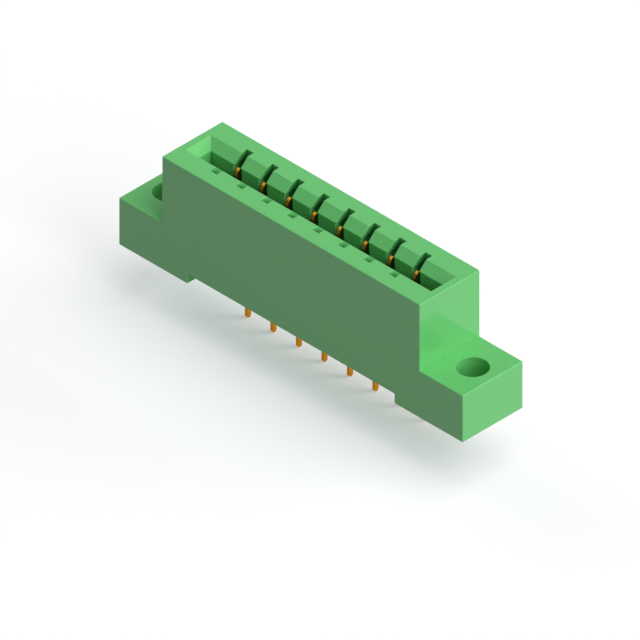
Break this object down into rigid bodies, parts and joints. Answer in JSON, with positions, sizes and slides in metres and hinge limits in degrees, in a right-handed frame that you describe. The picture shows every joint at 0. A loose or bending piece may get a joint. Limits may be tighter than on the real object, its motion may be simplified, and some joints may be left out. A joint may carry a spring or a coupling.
{
  "type": "card edge connector",
  "caption": "Moulded card edge connector with two rows of chambers, one of them loaded with blanked spring contacts with straight solder tails, and two screw ears on raised feet.",
  "frame": {"origin": "on the seating plane of the two feet, midway between the two mounting holes", "axes": "+X along the card slot, +Y towards the wall that holds the contacts, +Z out of the board towards the card"},
  "size_m": [0.0534, 0.0094, 0.0221],
  "materials": {
    "moulding": "glossy moulded green thermoplastic",
    "contact_metal": "gold plated spring metal, blanked edge-on from strip"
  },
  "bodies": {
    "root": {"housing": "moulding", "contact_1": "contact_metal", "contact_2": "contact_metal", "contact_3": "contact_metal", "contact_4": "contact_metal", "contact_5": "contact_metal", "contact_6": "contact_metal", "contact_7": "contact_metal", "contact_8": "contact_metal"}
  },
  "joints": []
}
